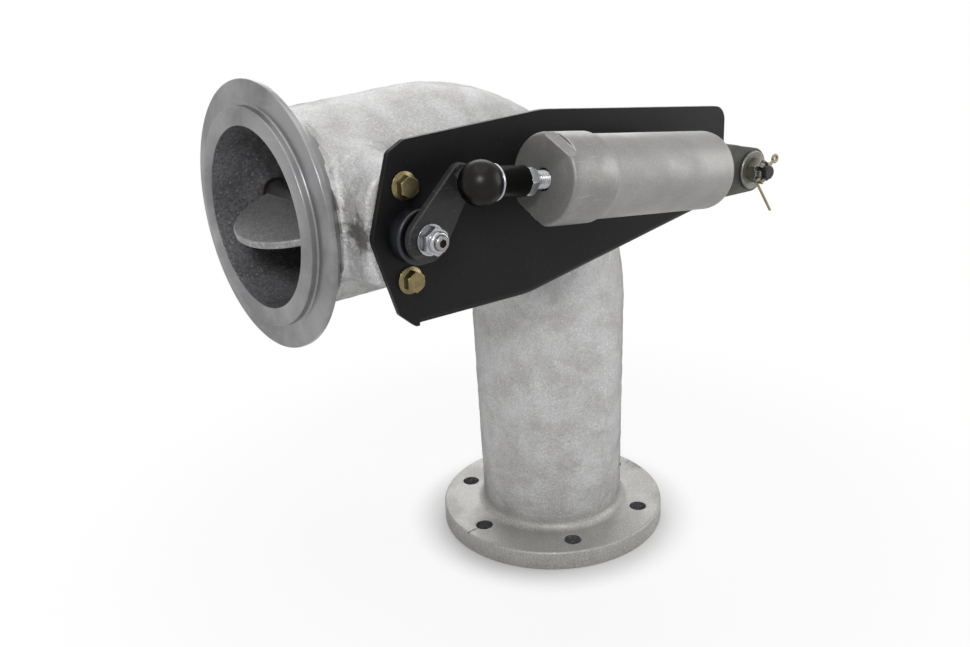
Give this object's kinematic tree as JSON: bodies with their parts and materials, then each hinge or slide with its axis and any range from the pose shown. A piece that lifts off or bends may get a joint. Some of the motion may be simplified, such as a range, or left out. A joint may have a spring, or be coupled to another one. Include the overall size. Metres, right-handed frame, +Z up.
{
  "type": "exhaust brake valve",
  "caption": "Cast elbow with a butterfly flap that throttles engine exhaust, turned through a lever by a small spring-returned air cylinder on a black bracket.",
  "frame": {"origin": "centre of the outlet flange's lower face", "axes": "+Z up the outlet pipe, -X out of the inlet, -Y towards the bracket and the air cylinder"},
  "size_m": [0.2993, 0.224, 0.341],
  "materials": {
    "cast_iron": "rough cast, aluminium painted, machined flange faces",
    "disc_iron": "rough cast",
    "shaft_steel": "turned",
    "black_steel": "black oxide",
    "dark_steel": "satin, dark",
    "bronze": "sintered",
    "packing": "graphite packing",
    "black_paint": "satin black enamel",
    "yellow_zinc": "yellow zinc plate",
    "phosphate": "dark phosphate",
    "gunmetal": "glossy black",
    "bright_zinc": "bright zinc plate",
    "aluminium": "matte, cast and turned",
    "rubber": "nitrile rubber",
    "spring_steel": "oiled spring wire",
    "fork_steel": "dull dark steel",
    "olive_zinc": "dull zinc plate",
    "cotter_wire": "bare wire"
  },
  "bodies": {
    "housing": {"valve_body": "cast_iron", "front_bush": "bronze", "rear_bush": "bronze", "rear_boss_plug": "black_steel", "shaft_collar": "dark_steel", "shaft_seal": "packing", "bracket_plate": "black_paint", "bracket_bolts": "yellow_zinc", "pivot_bolt": "black_steel", "pivot_back_washer": "olive_zinc", "pivot_spacer": "olive_zinc", "fork_sleeve": "olive_zinc", "pivot_washer": "olive_zinc", "pivot_castle_nut": "olive_zinc", "cotter_pin": "cotter_wire"},
    "rotor": {"valve_shaft": "shaft_steel", "butterfly_disc": "disc_iron", "disc_screws": "shaft_steel", "lever": "phosphate", "shaft_washer": "bright_zinc", "shaft_nut": "bright_zinc", "stud_shank": "phosphate"},
    "cylinder": {"cylinder_barrel": "aluminium", "front_cap": "aluminium", "rod_guide_bush": "bronze", "rod_seal": "rubber", "cap_seal": "rubber", "rear_fork": "fork_steel", "fork_screw": "black_steel", "return_spring": "spring_steel"},
    "rod": {"piston_rod": "bright_zinc", "piston": "aluminium", "piston_cup": "rubber", "piston_nut": "bright_zinc", "rod_lock_nut": "bright_zinc", "ball_socket": "gunmetal", "ball_stud": "phosphate", "socket_clip": "bright_zinc"}
  },
  "joints": [
    {"name": "shaft_turn", "type": "hinge", "parent": "housing", "child": "rotor", "pos_m": [-0.171, 0, 0.267], "axis": [0, -1, 0], "range_deg": [0, 76]},
    {"name": "cylinder_swing", "type": "hinge", "parent": "housing", "child": "cylinder", "pos_m": [0.0515, -0.12, 0.267], "axis": [0, -1, 0], "range_deg": [0, 0.923]},
    {"name": "rod_slide", "type": "slide", "parent": "cylinder", "child": "rod", "axis": [-0.9915, 0, 0.1301], "range_m": [0, 0.04221], "stiffness_N_per_m": 400, "springref_m": -0.04, "deforming": ["return_spring"]}
  ],
  "couplings": [
    {"joint": "shaft_turn", "follows": "rod_slide", "rad_per_m": 31.426},
    {"joint": "cylinder_swing", "follows": "rod_slide", "rad_per_m": 0.37766}
  ]
}
